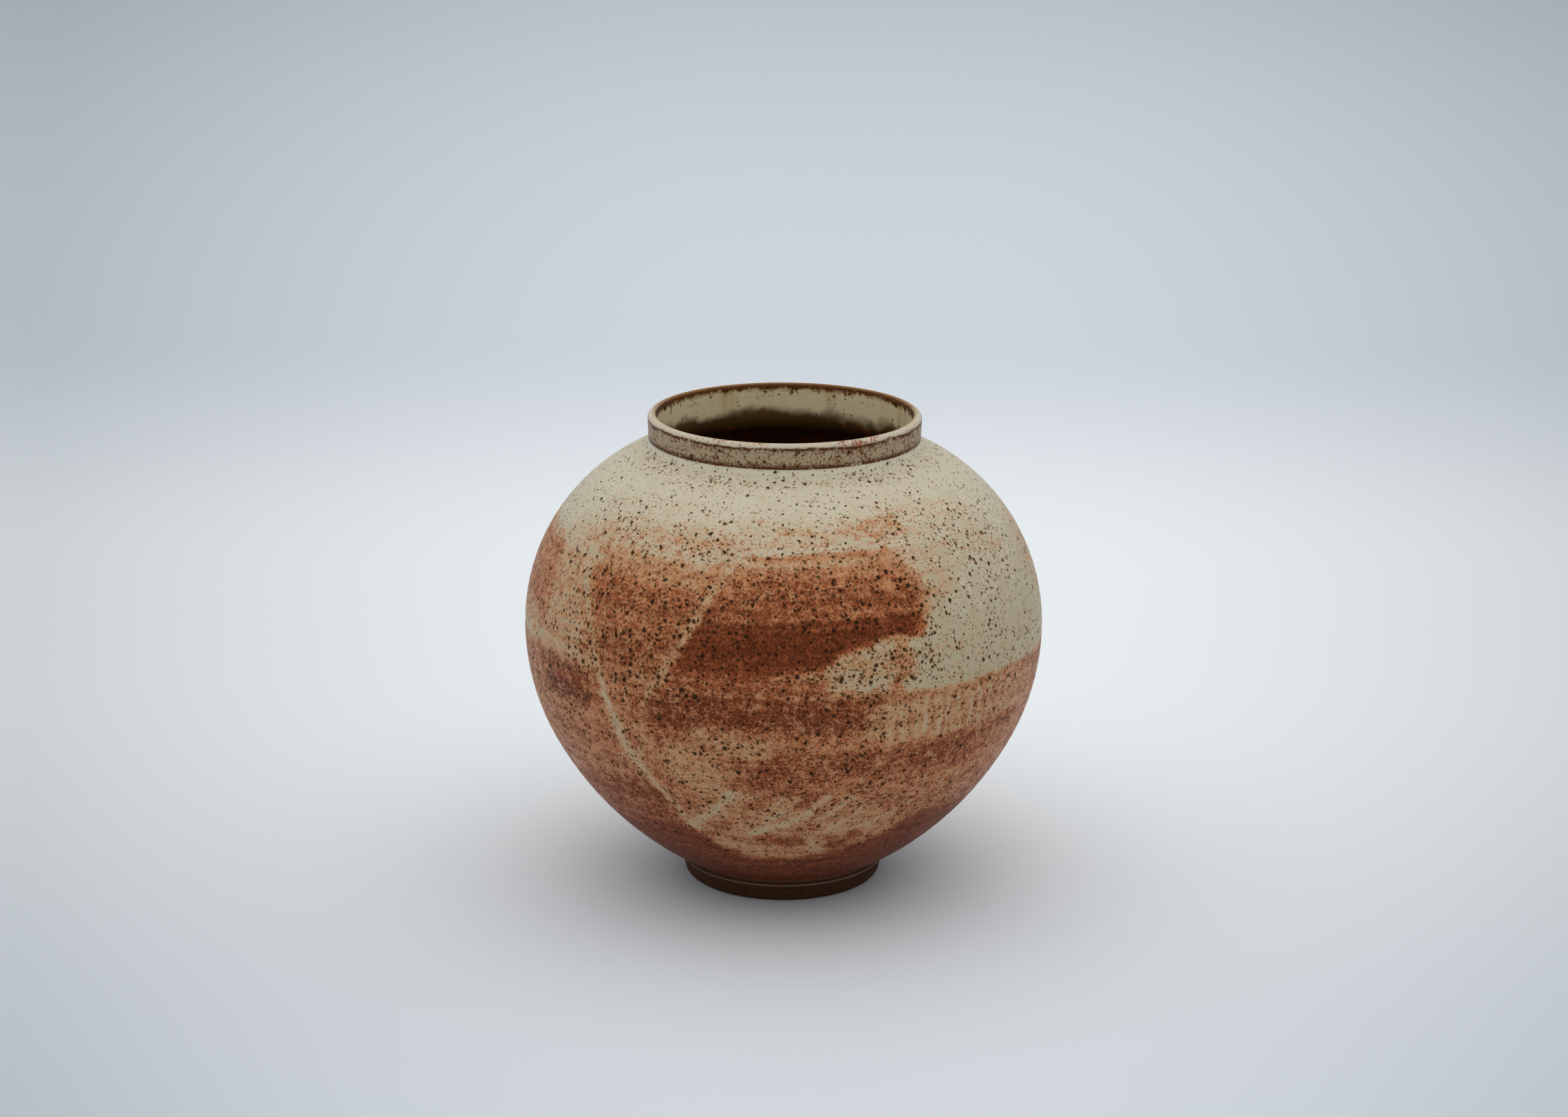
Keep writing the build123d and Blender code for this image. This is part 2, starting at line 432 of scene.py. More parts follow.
specks, given = effect("iron_specks", {
    "Per Metre": 400.0,
    "Size": 0.3,
    "Share": 0.5,
    "Ragged": 1.0 * MM,
    "Softness": 0.5,
})
ragged = put(specks, "ShaderNodeTexNoise", {"Vector": given["Place"], "Scale": ragged_grain, "Detail": 1.0})
push = put(specks, "ShaderNodeVectorMath", {0: ragged.outputs["Color"], 1: (0.5, 0.5, 0.5)},
           operation="SUBTRACT").outputs[0]
push = stretched(specks, push, given["Ragged"], given["Ragged"], given["Ragged"])
shaken = put(specks, "ShaderNodeVectorMath", {0: given["Place"], 1: push}, operation="ADD").outputs[0]
cells = put(specks, "ShaderNodeTexVoronoi", {"Vector": shaken, "Scale": given["Per Metre"]})
dice = put(specks, "ShaderNodeSeparateColor", {0: cells.outputs["Color"]}).outputs
few_large = calc(specks, "MULTIPLY", dice[0], dice[0])
own_size = calc(specks, "MULTIPLY_ADD", few_large, more_reach, least_reach)
reach = calc(specks, "MULTIPLY", given["Size"], own_size)
core = calc(specks, "MULTIPLY", reach, calc(specks, "SUBTRACT", 1.0, given["Softness"]))
spot = rise(specks, cells.outputs["Distance"], reach, core)
chosen = calc(specks, "LESS_THAN", dice[1], given["Share"])
put(specks, "NodeGroupOutput", {0: calc(specks, "MULTIPLY", spot, chosen)})
print("iron specks:", len(specks.nodes), "nodes")

# %% Mottle and brush lines
mottle, given = effect("glaze_mottle", {"Per Metre": 900.0, "Contrast": 1.0})
grain = put(mottle, "ShaderNodeTexNoise", {
    "Vector": given["Place"],
    "Scale": given["Per Metre"],
    "Detail": 2.0,
    "Roughness": 0.5,
})
centred = calc(mottle, "SUBTRACT", grain.outputs[0], 0.5)
put(mottle, "NodeGroupOutput", {0: calc(mottle, "MULTIPLY", centred, given["Contrast"])})

brush, given = effect("brush_lines", {"Along": 22.0, "Across": 520.0, "Contrast": 1.0})
drawn_out = stretched(brush, given["Place"], given["Along"], given["Along"], given["Across"])
lines = put(brush, "ShaderNodeTexNoise", {
    "Vector": drawn_out,
    "Scale": 1.0,
    "Detail": 3.0,
    "Roughness": 0.55,
})
centred = calc(brush, "SUBTRACT", lines.outputs[0], 0.5)
put(brush, "NodeGroupOutput", {0: calc(brush, "MULTIPLY", centred, given["Contrast"])})
print("effects:", [group.name for group in (specks, mottle, brush)])

# %% [markdown]
# ## Starting a finish
# Each finish starts the same way: a Principled shader and the Object coordinates, which are metres in
# the jar's own frame, so every pattern has a real scale and stays put from any side.


# %% Finish helpers
def finish(name, specular=0.5):
    """A new material with its tree, its Principled shader, and the place on the piece."""
    made = bpy.data.materials.new(name)
    made.use_nodes = True
    tree = made.node_tree
    tree.nodes.clear()
    shader = put(tree, "ShaderNodeBsdfPrincipled", {"Specular IOR Level": specular})
    put(tree, "ShaderNodeOutputMaterial", {0: shader.outputs[0]})
    place = put(tree, "ShaderNodeTexCoord").outputs["Object"]
    return made, tree, shader, place


def fill(tree, shader, colour, roughness, height, depth):
    """Give a shader its colour, its roughness and a bump of a real depth in metres."""
    bump = put(tree, "ShaderNodeBump", {"Height": height, "Distance": depth})
    for key, value in {"Base Color": colour, "Roughness": roughness, "Normal": bump.outputs[0]}.items():
        tree.links.new(value, shader.inputs[key])


def height_of(tree, place):
    """How far above the table a place is, in metres."""
    return put(tree, "ShaderNodeSeparateXYZ", {0: place}).outputs["Z"]


def mixed(tree, *weighted):
    """A sum of values, each with its weight."""
    total = 0.0
    for value, weight in weighted:
        total = calc(tree, "MULTIPLY_ADD", value, weight, total)
    return total


def level_line(tree, height, low, low_soft, high, high_soft):
    """1 between two heights, with its own softness at each edge."""
    above = rise(tree, height, low - low_soft, low + low_soft)
    below = rise(tree, height, high + high_soft, high - high_soft)
    return calc(tree, "MULTIPLY", above, below)


# %% [markdown]
# ## The outer glaze
# The outside is a pale satin glaze, milky on the shoulder and tan low down, under a brushed iron wash. The
# wash has a thin peach haze, and over it a thick rust coat that turns brown where the brush was loaded.
# A picture wrapped round the jar could give all this, but it would blur up close and stretch at the neck.
# So how much wash lies where is painted on the mesh later, as values that each point keeps, and the finish
# breaks those soft values up with mottle and brush lines. That gives the edge of a stroke the grain that a
# dry brush leaves.


# %% Outer glaze: the pale coat
def painted(tree, name):
    """A value that each point of the mesh keeps."""
    return put(tree, "ShaderNodeAttribute", attribute_name=name).outputs["Fac"]


pale_glaze = srgb(197, 182, 148)
milky_glaze = srgb(216, 204, 176)
tan_glaze = srgb(206, 168, 124)
milky_from = 118 * MM
milky_full = 166 * MM
milky_drift = 36 * MM
tan_from = 108 * MM
tan_full = 66 * MM
tan_strength = 0.6

outer_finish, tree, shader, place = finish("speckled_outer_glaze", specular=0.1)
wash = painted(tree, "wash")
tone = painted(tree, "tone")
pepper = painted(tree, "pepper")
fine_grain = use(tree, mottle, place, Per_Metre=950.0)
dark_grain = use(tree, mottle, place, Per_Metre=1150.0)
patch_grain = use(tree, mottle, place, Per_Metre=300.0)
broad_grain = use(tree, mottle, place, Per_Metre=150.0)
bristles = use(tree, brush, place, Along=20.0, Across=480.0)

height = height_of(tree, place)
milky = mixed(tree, (height, 1 / milky_drift), (broad_grain, 2.2), (patch_grain, 0.8))
milky = rise(tree, milky, milky_from / milky_drift, milky_full / milky_drift)
low_down = rise(tree, height, tan_from, tan_full)
base = lay(tree, milky, pale_glaze, milky_glaze)
base = lay(tree, calc(tree, "MULTIPLY", low_down, tan_strength), base, tan_glaze)
print("pale coat nodes:", len(tree.nodes))

# %% Outer glaze: the wash over it
peach_wash = srgb(204, 151, 106)
rust_light = srgb(208, 130, 85)
rust_wash = srgb(153, 80, 44)
brown_wash = srgb(102, 45, 18)

haze = mixed(tree, (wash, 1.0), (fine_grain, 0.8), (patch_grain, 0.5), (bristles, 0.5), (broad_grain, 0.2))
cover = mixed(tree, (wash, 1.0), (fine_grain, 1.4), (patch_grain, 0.7), (bristles, 0.5), (broad_grain, 0.2))
shade = mixed(tree, (tone, 1.0), (dark_grain, 2.6), (patch_grain, 0.7), (bristles, 0.9), (broad_grain, 0.2))
thin = rise(tree, haze, 0.0, 0.5)
thick = rise(tree, cover, 0.3, 0.95)
rust = lay(tree, rise(tree, shade, -0.45, 0.3), rust_light, rust_wash)
rust = lay(tree, rise(tree, shade, 0.15, 1.0), rust, brown_wash)
colour = lay(tree, thick, lay(tree, thin, base, peach_wash), rust)
print("with the wash:", len(tree.nodes))

# %% [markdown]
# The collar has its own story. Glaze runs off the lip and gathers under the crease in a small roll that
# the mesh does not have, so a pale band there is a painted highlight for the light that the roll catches.
# Where the glaze is thin the iron in the clay burns through: as stains on the collar's wall, as a line under
# the lip's round and one above the crease, and as a rosy flush in places on the lip. Each is a band of
# heights with a soft edge. The heights wander with the mottle first, so that no band is a ruled ring.

# %% Outer glaze: the collar, and the painted highlight of the roll under it
collar_pale = srgb(180, 160, 128)
collar_stain = srgb(126, 86, 58)
roll_highlight = srgb(226, 216, 190)
ochre_stain = srgb(166, 124, 70)

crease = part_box("neck_collar")[0][2]
drift = use(tree, mottle, place, Per_Metre=60.0)
wander = mixed(tree, (drift, 1.6 * MM), (broad_grain, 1.2 * MM), (patch_grain, 0.9 * MM),
               (fine_grain, 0.6 * MM))
wavy_height = calc(tree, "ADD", height, wander)
near_lip = rise(tree, wavy_height, jar_height - 5.0 * MM, jar_height - 2.2 * MM)
near_crease = rise(tree, wavy_height, crease + 3.5 * MM, crease + 0.5 * MM)
stain = mixed(tree, (fine_grain, 2.8), (patch_grain, 1.2), (drift, 0.8), (near_lip, 0.3), (near_crease, 0.3))
stain = rise(tree, stain, -0.05, 0.6)
collar_colour = lay(tree, stain, collar_pale, collar_stain)
colour = lay(tree, rise(tree, height, crease - 0.3 * MM, crease + 0.1 * MM), colour, collar_colour)
# Painted highlight: a pale band just under the crease, for the light on a glaze roll that the mesh does not
# have
roll = level_line(tree, height, crease - 2.0 * MM, 0.4 * MM, crease - 0.5 * MM, 0.2 * MM)
colour = lay(tree, calc(tree, "MULTIPLY", roll, 0.8), colour, roll_highlight)
ochre = level_line(tree, wavy_height, crease - 6.5 * MM, 2.0 * MM, crease - 2.4 * MM, 0.8 * MM)
ochre_patches = rise(tree, mixed(tree, (fine_grain, 1.5), (patch_grain, 1.0)), 0.1, 0.5)
colour = lay(tree, calc(tree, "MULTIPLY", ochre, ochre_patches), colour, ochre_stain)
print("collar from", round(crease / MM, 2), "mm up; nodes:", len(tree.nodes))

# %% Outer glaze: the lip and the burnt lines
lip_cream = srgb(212, 198, 172)
lip_flush = srgb(166, 104, 82)
burnt_iron = srgb(84, 44, 18)

flushed = rise(tree, mixed(tree, (drift, 1.0), (broad_grain, 0.6), (fine_grain, 1.2)), 0.12, 0.3)
lip_colour = lay(tree, flushed, lip_cream, lip_flush)
colour = lay(tree, rise(tree, wavy_height, jar_height - 1.7 * MM, jar_height - 1.2 * MM), colour, lip_colour)
lip_line = level_line(tree, wavy_height, jar_height - 2.7 * MM, 0.4 * MM, jar_height - 1.7 * MM, 0.2 * MM)
over_crease = rise(tree, height, crease - 0.35 * MM, crease - 0.05 * MM)
low_on_collar = rise(tree, wavy_height, crease + 1.9 * MM, crease + 0.4 * MM)
crease_line = calc(tree, "MULTIPLY", over_crease, low_on_collar)
burnt_patches = rise(tree, mixed(tree, (broad_grain, 1.0), (fine_grain, 1.2)), -0.4, 0.0)
burnt = calc(tree, "MULTIPLY", calc(tree, "MAXIMUM", lip_line, crease_line), burnt_patches)
colour = lay(tree, burnt, colour, burnt_iron)
print("with the lip:", len(tree.nodes))

# %% [markdown]
# Iron specks melt up out of the clay. They come in three sizes, brown on the pale glaze and darker under
# the rust, and where they crowd they also grow. Placing them one by one would take thousands of strokes,
# so each size is one use of the shared effect, and a painted value says how many of them show.

# %% Outer glaze: specks and surface
iron_tan = srgb(138, 102, 60)
iron_brown = srgb(98, 68, 30)
iron_umber = srgb(66, 43, 15)
speck_brown = srgb(103, 56, 20)
speck_dark = srgb(70, 36, 8)
speck_black = srgb(52, 26, 4)
least_size = 0.94
crowded_growth = 0.12
satin_roughness = 0.40
glaze_relief = 0.06 * MM

crowd = calc(tree, "MULTIPLY", pepper, mixed(tree, (broad_grain, 4.0), (patch_grain, 2.0), (1.0, 1.0)))
speckle = 0.0
for per_metre, size, share, on_pale, on_rust in (
    (950.0, 0.40, 1.30, iron_tan, speck_brown),
    (560.0, 0.38, 0.80, iron_brown, speck_dark),
    (380.0, 0.36, 0.75, iron_umber, speck_black),
):
    grown = mixed(tree, (pepper, crowded_growth * size), (1.0, least_size * size))
    chance = calc(tree, "MULTIPLY", crowd, share)
    spots = use(tree, specks, place, Per_Metre=per_metre, Size=grown, Share=chance)
    iron = lay(tree, thick, on_pale, on_rust)
    colour = lay(tree, spots, colour, iron)
    speckle = calc(tree, "MAXIMUM", speckle, spots)
roughness = mixed(tree, (thick, 0.07), (fine_grain, 0.12), (speckle, 0.1), (1.0, satin_roughness))
surface = mixed(tree, (speckle, 0.5), (fine_grain, 0.8), (bristles, 0.4))
fill(tree, shader, colour, roughness, surface, glaze_relief)
print("outer glaze nodes:", len(tree.nodes))

# %% [markdown]
# ## The liner glaze
# Inside, the same clay carries a dark brown glaze that turns rusty in patches. Only a band in the neck is
# pale, where the outer glaze was carried over the lip, and it ends in a soft edge that drifts up and down.
# A brown line with short runs marks the lip's inner edge, and the crest above it is worn pale in front and
# fired brown at the back. Two pieces of mesh could hold the two colours, but a soft edge between them
# is only possible inside one finish.

# %% Liner glaze: the pale neck and the dark hollow
neck_pale = srgb(240, 222, 178)
neck_tan = srgb(212, 184, 132)
liner_rust = srgb(148, 86, 42)
liner_dark = srgb(104, 76, 42)

liner_finish, tree, shader, place = finish("dark_liner_glaze", specular=0.1)
height = height_of(tree, place)
fine_grain = use(tree, mottle, place, Per_Metre=700.0)
broad_grain = use(tree, mottle, place, Per_Metre=45.0)
blot_grain = use(tree, mottle, place, Per_Metre=260.0)
runs = use(tree, brush, place, Along=110.0, Across=25.0)
edge_drift = mixed(tree, (broad_grain, 18 * MM), (runs, 2 * MM), (blot_grain, 4 * MM), (fine_grain, 1 * MM))
neck_edge = calc(tree, "ADD", height, edge_drift)
pale_band = rise(tree, neck_edge, crease - 5.5 * MM, crease + 0.3 * MM)
rust_patch = rise(tree, mixed(tree, (broad_grain, 1.6), (blot_grain, 1.0), (runs, 0.6)), 0.0, 0.3)
dark = lay(tree, rust_patch, liner_dark, liner_rust)
neck = lay(tree, rise(tree, runs, -0.05, 0.3), neck_pale, neck_tan)
colour = lay(tree, pale_band, dark, neck)
print("neck and hollow:", len(tree.nodes), "nodes")

# %% Liner glaze: the lip's inner edge
run_brown = srgb(86, 48, 12)
run_tan = srgb(156, 104, 46)
crest_pale = srgb(206, 186, 150)
crest_brown = srgb(140, 98, 52)
run_length = 3.5 * MM
liner_roughness = 0.55
liner_relief = 0.05 * MM

drip = calc(tree, "MULTIPLY", rise(tree, runs, 0.12, 0.35), run_length)
run_drift = mixed(tree, (fine_grain, 3.0 * MM), (blot_grain, 2.5 * MM), (drip, 1.0))
run_edge = calc(tree, "ADD", height, run_drift)
fringe = rise(tree, run_edge, jar_height - 3.8 * MM, jar_height - 2.0 * MM)
colour = lay(tree, calc(tree, "MULTIPLY", fringe, 0.7), colour, run_tan)
tan_patches = rise(tree, mixed(tree, (fine_grain, 1.6), (blot_grain, 1.2)), 0.1, 0.5)
brown = lay(tree, tan_patches, run_brown, run_tan)
colour = lay(tree, rise(tree, run_edge, jar_height - 2.6 * MM, jar_height - 1.5 * MM), colour, brown)
blots = rise(tree, mixed(tree, (blot_grain, 1.5), (fine_grain, 0.8)), 0.14, 0.3)
blots = calc(tree, "MULTIPLY", blots, rise(tree, height, jar_height - 7 * MM, jar_height - 2.5 * MM))
colour = lay(tree, blots, colour, speck_dark)
crest = calc(tree, "MULTIPLY_ADD", fine_grain, 0.3 * MM, height)
crest = rise(tree, crest, jar_height - 0.55 * MM, jar_height - 0.20 * MM)
far_side = rise(tree, put(tree, "ShaderNodeSeparateXYZ", {0: place}).outputs["Y"], -20 * MM, 30 * MM)
colour = lay(tree, crest, colour, lay(tree, far_side, crest_pale, crest_brown))
speckle = use(tree, specks, place, Per_Metre=450.0, Size=0.3, Share=0.45)
colour = lay(tree, calc(tree, "MULTIPLY", speckle, 0.85), colour, speck_brown)
roughness = mixed(tree, (fine_grain, 0.1), (1.0, liner_roughness))
surface = mixed(tree, (speckle, 0.5), (fine_grain, 0.6))
fill(tree, shader, colour, roughness, surface, liner_relief)
print("liner glaze nodes:", len(tree.nodes))

# %% [markdown]
# ## Clay and slip
# The foot is bare clay that the fire has toasted, with lines from the turning tool and a thin pale line
# round it at one height. The bowls, the collar and the luting slip are the same body, hidden under the
# glaze but for the underside of the base. They differ only in colour and in how clear the lines are, so
# one function makes all three.

# %% Bare clay finishes
foot_line = 6.95 * MM
line_half = 0.25 * MM
line_wander = 0.25 * MM
line_soft = 0.15 * MM
line_pale = srgb(150, 126, 108)
clay_roughness = 0.72
clay_relief = 0.12 * MM


def bare_clay(name, light, dark, line_share, pale_line_height=None):
    """A matt clay with grain, turning lines, a few iron specks, and a pale line at one height if asked."""
    made, tree, shader, place = finish(name, specular=0.15)
    grain = use(tree, mottle, place, Per_Metre=600.0, Contrast=1.2)
    turning = use(tree, brush, place, Along=10.0, Across=1400.0, Contrast=line_share)
    spots = use(tree, specks, place, Per_Metre=420.0, Size=0.3, Share=0.35)
    clay = mixed(tree, (grain, 1.0), (turning, 1.0), (1.0, 0.5))
    colour = lay(tree, clay, dark, light)
    # A thin pale band round the piece at the given height
    if pale_line_height:
        wavy_height = calc(tree, "MULTIPLY_ADD", grain, line_wander, height_of(tree, place))
        low = pale_line_height - line_half
        high = pale_line_height + line_half
        line = level_line(tree, wavy_height, low, line_soft, high, line_soft)
        colour = lay(tree, calc(tree, "MULTIPLY", line, 0.8), colour, line_pale)
    colour = lay(tree, calc(tree, "MULTIPLY", spots, 0.8), colour, speck_black)
    fill(tree, shader, colour, mixed(tree, (grain, 0.2), (1.0, clay_roughness)), clay, clay_relief)
    return made


foot_finish = bare_clay("toasted_foot_clay", srgb(86, 50, 26), srgb(54, 30, 15), 1.4, pale_line_height=foot_line)
clay_finish = bare_clay("stoneware_clay", srgb(158, 116, 86), srgb(118, 80, 56), 0.8)
slip_finish = bare_clay("luting_slip", srgb(148, 108, 82), srgb(110, 76, 54), 0.3)
print("clay finishes:", [made.name for made in (foot_finish, clay_finish, slip_finish)])

# %% [markdown]
# ## Turn the two coats and the foot
# A coat is a closed skin: down its shown side and back up against the clay. Its rows are close together
# where it shows and further apart where it does not. A Solidify modifier could thicken a single skin
# instead, but its back would not lie on the clay of the model.

# %% Outer and liner coats
hidden_step = 9 * MM
hidden_bend = math.radians(30)
smooth_neck = 20 * MM


def coat_rows(shown_rows, hidden_points, shown_first):
    """One closed loop of rows, marked 1 where the throwing line shows."""
    hidden_rows = rows_along(hidden_points, hidden_step, hidden_bend)
    near_lip = shown_rows[:, 1] > jar_height - smooth_neck
    shown_side = np.column_stack((shown_rows, np.where(near_lip, 0.0, 1.0)))
    hidden_side = np.column_stack((hidden_rows, np.zeros(len(hidden_rows))))
    first, last = (shown_side, hidden_side) if shown_first else (hidden_side, shown_side)
    return np.vstack((first, last[::-1], first[:1]))


# 366 steps round keep the outer coat under 200,000 triangles
outer_loop = coat_rows(outer_rows, outer_back, shown_first=True)
outer_coat = turn_piece("outer_coat", outer_loop, outer_finish, Segments=366)
liner_loop = coat_rows(hollow_rows, hollow_back, shown_first=False)
liner_coat = turn_piece("liner_coat", liner_loop, liner_finish, Segments=240)

# %% Foot ring
foot_step = 0.45 * MM
foot_pitch = 1.6 * MM


def section_loop(node, step):
    """The closed outline of a chunky ring, whose section is convex, in short steps."""
    places = np.array([vertex.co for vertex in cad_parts[node].data.vertices])
    rings = np.column_stack((np.hypot(places[:, 0], places[:, 1]), places[:, 2]))
    points = np.unique(rings.round(5), axis=0)
    middle = (points.min(axis=0) + points.max(axis=0)) / 2
    points = points[np.argsort(-np.arctan2(points[:, 1] - middle[1], points[:, 0] - middle[0]))]
    rows = []
    for start, end in zip(points, np.roll(points, -1, axis=0)):
        steps = math.ceil(np.linalg.norm(end - start) / step)
        rows += [start + (end - start) * t / steps for t in range(steps)]
    return np.array(rows + [points[0]])


foot_rows = section_loop("foot_ring", foot_step)
foot_rows = np.column_stack((foot_rows, np.ones(len(foot_rows))))
foot = turn_piece("turned_foot", foot_rows, foot_finish, Segments=240, **{"Line Pitch": foot_pitch})

# %% [markdown]
# ## Painting the wash
# The wash is brushed on while the jar turns, so most strokes run level round it. Some are pulled up
# across the wet coat by a finger or a dry brush, and those wipe the pale glaze free. Each stroke here is
# a short path of angles in degrees and heights in millimetres, with a width. Distances are measured along
# the wall itself, after a small wobble, so that no edge is a ruled line. Blender's brushes could paint the
# same by hand, but written strokes come out alike every time and can be changed one by one.

# %% Where every point of the coat lies
places = np.empty(3 * len(outer_coat.data.vertices))
outer_coat.data.vertices.foreach_get("co", places)
places = places.reshape(-1, 3)
radii = np.hypot(places[:, 0], places[:, 1]) / MM
wall_steps = np.linalg.norm(np.diff(outer_rows, axis=0), axis=1)
wall_lengths = np.concatenate(([0], np.cumsum(wall_steps))) / MM


def wall_at(height):
    """How far down the wall a height in millimetres lies, measured from the lip's crest."""
    return np.interp(height, outer_rows[::-1, 1] / MM, wall_lengths[::-1])


def wobble(scale, lift=1.0):
    """Two smooth random values for every point; a large lift makes them change faster with height."""
    spots = places * (scale, scale, scale * lift)
    return np.array([noise.noise_vector(Vector(spot))[:2] for spot in spots])


# Without a seed of its own this noise starts from the clock
wobble_seed = 7
slow_scale = 45.0
quick_scale = 140.0
bristle_scale = 16.0
bristle_lift = 28.0
noise.seed_set(wobble_seed)
slow_wobble = wobble(slow_scale)
quick_wobble = wobble(quick_scale)
bristle_wobble = wobble(bristle_scale, bristle_lift)

# Millimetres by which the wobble moves each point across and down the wall
across_shift = 2.2 * slow_wobble[:, 0] + 0.9 * quick_wobble[:, 0] + 3.5 * bristle_wobble[:, 0]
down_shift = 1.3 * slow_wobble[:, 1] + 0.7 * quick_wobble[:, 1]
turns = np.degrees(np.arctan2(places[:, 0], -places[:, 1]))
heights = places[:, 2] / MM
downs = wall_at(heights)
print("painting", len(places), "points on a wall", round(wall_lengths[-1], 1), "mm long")

# %% Brush tools
bare_wash = -0.10
layers = {"wash": np.full(len(places), bare_wash), "tone": np.zeros(len(places))}
print("layers:", list(layers))


def soft(values, low, high):
    """A soft step from 0 at low to 1 at high."""
    t = np.clip((values - low) / (high - low), 0, 1)
    return t * t * (3 - 2 * t)


def lay_on(layer, mask, level):
    """Pull one layer towards a level where the mask is 1."""
    layers[layer] += mask * (level - layers[layer])


def stroke(layer, path, half_width, level, edge=2.0, load=1.0, ragged=1.0):
    """Brush along a path of (angle, height) points; load is how much of the layer it takes over."""
    nearest = np.full(len(places), np.inf)
    for (turn_a, height_a), (turn_b, height_b) in zip(path, path[1:]):
        start_x = np.radians((turn_a - turns + 180) % 360 - 180) * radii - ragged * across_shift
        start_y = wall_at(height_a) - downs - ragged * down_shift
        step_x = math.radians(turn_b - turn_a) * radii
        step_y = wall_at(height_b) - wall_at(height_a)
        along = np.clip(-(start_x * step_x + start_y * step_y) / (step_x**2 + step_y**2), 0, 1)
        nearest = np.minimum(nearest, np.hypot(start_x + along * step_x, start_y + along * step_y))
    lay_on(layer, load * (1 - soft(nearest, half_width - edge / 2, half_width + edge / 2)), level)


def below(layer, upper_edge, level, edge=2.0, load=1.0, ragged=1.0):
    """Brush everything below an edge that goes once round the jar, given as (angle, height) points."""
    edge_turns, edge_heights = zip(*upper_edge)
    edge_downs = wall_at(np.interp(turns, edge_turns, edge_heights, period=360))
    lay_on(layer, load * soft(downs + ragged * down_shift - edge_downs, -edge / 2, edge / 2), level)


# %% Rust: the lower half and the foot
waist = [(-150, 101), (-110, 104), (-75, 105), (-45, 106), (-20, 105), (0, 104.5), (20, 103), (35, 101.5),
         (75, 101), (110, 103), (150, 100)]
foot_edge = [(-180, 33), (-140, 38), (-100, 34), (-60, 44), (-36, 46), (-30, 44), (-25, 41), (-20, 36),
             (-15, 31), (-10, 27.5), (0, 26.5), (6, 28), (12, 29.5), (20, 33.5), (26, 36), (31, 39),
             (36, 44), (42, 47), (60, 42), (100, 35), (140, 36)]
inner_share = 0.6
inner_foot_edge = [(turn, inner_share * height) for turn, height in foot_edge]
stroke("wash", [(-50, 139), (26, 143)], 25, 0.22, edge=22)
stroke("wash", [(-62, 120), (12, 124)], 20, 0.34, edge=20)
below("wash", waist, 0.67, edge=5)
below("tone", waist, 0.08, edge=6)
below("wash", foot_edge, 1.20, edge=11, ragged=2.2)
below("tone", foot_edge, 0.70, edge=11, ragged=2.2)
below("tone", inner_foot_edge, 0.95, edge=12)
print("rust on", round(100 * float((layers["wash"] > 0.5).mean())), "% of the points")

# %% Rust: strokes over the shoulder, front and back
for path, half_width, level, edge in (
    # Thin haze and streaks high on the shoulder
    ([(32, 162), (58, 158)], 7.0, 0.12, 10),
    ([(-56, 160), (-28, 162)], 6.0, 0.06, 10),
    ([(0, 156), (24, 157)], 3.5, 0.24, 6),
    ([(-50, 149), (-18, 150)], 7.5, 0.27, 12),
    ([(36, 154), (64, 147)], 9.0, 0.16, 14),
    ([(22, 141), (38, 139)], 8.0, 0.24, 14),
    ([(-10, 145.5), (25, 146.5)], 5.5, 0.38, 9),
    ([(-8, 150.0), (27, 150.8)], 1.0, 0.68, 2.4),
    ([(19, 158), (31, 158.5)], 4.0, 0.38, 6),
    # The broad block in front, down to its loaded edge
    ([(-14, 138), (27, 139)], 9.0, 0.82, 10),
    ([(-17, 130), (30, 130.5)], 6.0, 0.88, 8),
    ([(-19, 125.5), (31, 125.5)], 3.6, 1.15, 4),
    ([(-21, 116), (-6, 117)], 8.0, 1.25, 5),
    ([(-6, 118), (7, 120)], 7.0, 1.30, 4),
    ([(7, 121), (17, 123.5)], 4.5, 1.30, 3),
    # The patch left of it
    ([(-45, 142), (-24, 141)], 6.0, 0.48, 8),
    ([(-47, 134), (-23, 134)], 6.0, 0.80, 8),
    ([(-46, 124), (-25, 124)], 6.0, 0.80, 8),
    ([(-44, 114), (-27, 114)], 7.0, 0.82, 8),
    # The belly, with the speckled wedge beside the block
    ([(-26, 107), (8, 107)], 3.5, 0.86, 5),
    ([(13, 112), (31, 112)], 6.0, 0.29, 7),
    ([(25.5, 120), (25, 104)], 2.8, 0.60, 4),
    # Bands under the belly
    ([(-28, 95), (20, 94)], 9.0, 0.88, 10),
    ([(-4, 88), (24, 88)], 4.0, 0.78, 8),
    ([(22, 91), (68, 90)], 8.0, 0.50, 6),
    ([(-4, 78), (60, 79)], 3.0, 0.76, 4),
    ([(-4, 72), (50, 73)], 6.0, 0.80, 8),
    ([(-62, 97), (-46, 96)], 6.0, 0.85, 9),
    ([(-62, 76), (-44, 72)], 14.0, 0.66, 12),
    ([(-60, 46), (-36, 52)], 12.0, 0.85, 10),
    # The left side
    ([(-108, 137), (-71, 136)], 9.0, 0.66, 12),
    ([(-101, 122), (-70, 121)], 9.0, 0.70, 12),
    ([(-120, 114), (-72, 113)], 5.0, 0.40, 8),
    # Behind, right of the middle
    ([(88, 132), (168, 134)], 22.0, 0.20, 20),
    ([(104, 146), (142, 145)], 4.0, 0.44, 7),
    ([(100, 138), (151, 137)], 7.0, 0.66, 10),
    ([(97, 128), (158, 128)], 6.0, 0.84, 8),
    ([(103, 119), (147, 121)], 5.0, 1.20, 4),
    ([(108, 114), (128, 115)], 4.0, 1.20, 4),
    # Behind, left of the middle
    ([(-178, 131), (-136, 132)], 20.0, 0.22, 18),
    ([(-171, 140), (-148, 141)], 5.0, 0.46, 9),
    ([(-176, 131), (-143, 132)], 7.0, 0.74, 9),
    ([(-169, 121), (-147, 123)], 5.0, 1.15, 5),
):
    stroke("wash", path, half_width, level, edge)
